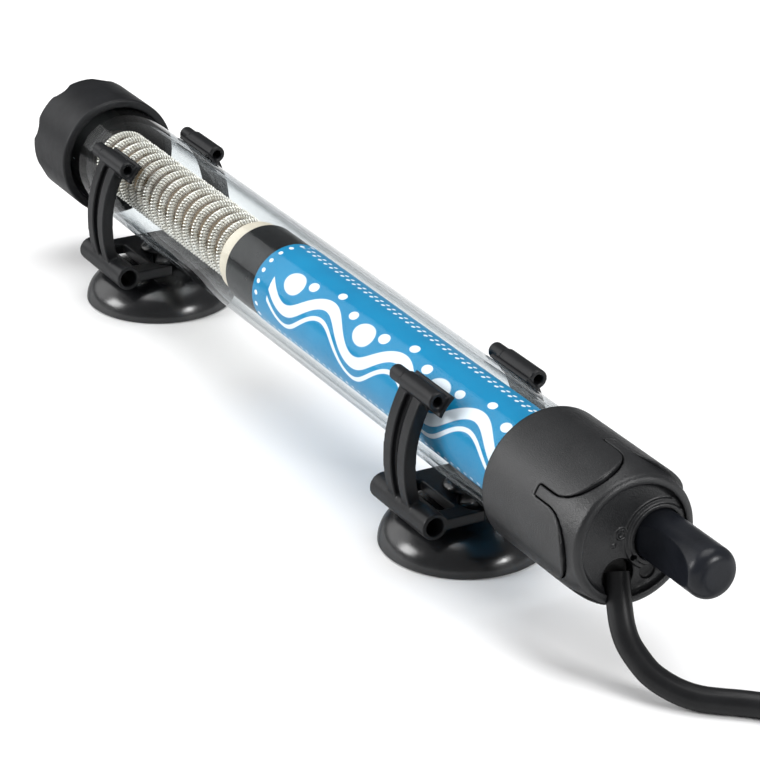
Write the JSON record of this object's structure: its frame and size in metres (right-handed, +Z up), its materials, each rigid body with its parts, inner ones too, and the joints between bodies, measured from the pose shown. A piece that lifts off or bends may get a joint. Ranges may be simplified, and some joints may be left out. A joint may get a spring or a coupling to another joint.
{
  "type": "submersible aquarium heater",
  "caption": "Glass tube heater with a wound element, thermostat knob on a black cap, end guard, and brackets on suction cups.",
  "frame": {"origin": "on the surface that the suction cups stand on, under the middle of the heater without its mains lead", "axes": "+X along the tube towards the control knob, +Z up away from the cups, +Y across the tube"},
  "size_m": [0.419, 0.0454, 0.0414],
  "materials": {
    "glass": "clear borosilicate glass",
    "guard_plastic": "matt black moulded plastic",
    "cap_plastic": "fine-grained black moulded plastic",
    "clip_plastic": "satin black moulded plastic",
    "rubber": "satin black rubber",
    "seal_rubber": "dark grey rubber",
    "knob_plastic": "soft-touch black",
    "ceramic": "unglazed cream ceramic",
    "resistance_wire": "bright resistance wire",
    "sleeve": "glossy black insulation",
    "label": "blue printed film",
    "board": "insulating board",
    "brass": "brass",
    "steel": "steel",
    "silver": "silver contact",
    "magnet": "dark magnet",
    "capacitor": "dipped capacitor",
    "nylon": "natural nylon",
    "cord_jacket": "black cord jacket",
    "plug_plastic": "black moulded plug"
  },
  "bodies": {
    "heater": {"glass_tube": "glass", "end_guard": "guard_plastic", "guard_cushion": "seal_rubber", "cap_sleeve": "cap_plastic", "cap_cover": "cap_plastic", "cap_gasket": "seal_rubber", "seal_plug": "seal_rubber", "knob_seal": "seal_rubber", "cord_gland": "seal_rubber", "ceramic_core": "ceramic", "heating_coil": "resistance_wire", "front_collar": "ceramic", "rear_collar": "ceramic", "insulating_sleeve": "sleeve", "label_film": "label", "thermostat_chassis": "board", "bimetal_strip": "brass", "bimetal_contact": "silver", "bimetal_rivets": "steel", "snap_magnet": "magnet", "suppression_capacitor": "capacitor", "lever_pin": "steel", "lead_wires": "steel", "terminal_pins": "brass", "support_rods": "steel", "power_cord": "cord_jacket", "cord_hank": "cord_jacket", "cord_tail": "cord_jacket", "cord_tie": "clip_plastic", "plug_body": "plug_plastic", "plug_pins": "steel"},
    "knob": {"knob": "knob_plastic", "spindle": "steel", "spindle_clip": "steel"},
    "plunger": {"plunger": "nylon"},
    "contact_lever": {"contact_lever": "brass", "lever_contact": "silver"},
    "front_clip": {"clip_front": "clip_plastic"},
    "rear_clip": {"clip_rear": "clip_plastic"},
    "front_cup": {"cup_front": "rubber"},
    "rear_cup": {"cup_rear": "rubber"}
  },
  "joints": [
    {"name": "knob_turn", "type": "hinge", "parent": "heater", "child": "knob", "pos_m": [0.112, 0.0055, 0.0269], "axis": [1, 0, 0], "range_deg": [-135, 135]},
    {"name": "plunger_travel", "type": "slide", "parent": "heater", "child": "plunger", "axis": [1, 0, 0], "range_m": [-0.00032, 0.00032]},
    {"name": "lever_tilt", "type": "hinge", "parent": "heater", "child": "contact_lever", "pos_m": [0.057, 0.0055, 0.0242], "axis": [0, 1, 0], "range_deg": [-6.8, 6.8]},
    {"name": "front_clip_slide", "type": "slide", "parent": "heater", "child": "front_clip", "axis": [1, 0, 0], "range_m": [-0.05, 0.017]},
    {"name": "rear_clip_slide", "type": "slide", "parent": "heater", "child": "rear_clip", "axis": [1, 0, 0], "range_m": [-0.01, 0.05]},
    {"name": "front_cup_swivel", "type": "hinge", "parent": "front_clip", "child": "front_cup", "pos_m": [0.0517, 0, 0.0125], "axis": [0, 0, 1], "continuous": true},
    {"name": "rear_cup_swivel", "type": "hinge", "parent": "rear_clip", "child": "rear_cup", "pos_m": [-0.0893, 0, 0.0125], "axis": [0, 0, 1], "continuous": true}
  ],
  "couplings": [
    {"joint": "plunger_travel", "follows": "knob_turn", "m_per_rad": -0.00012732},
    {"joint": "lever_tilt", "follows": "knob_turn", "ratio": -0.047157}
  ]
}
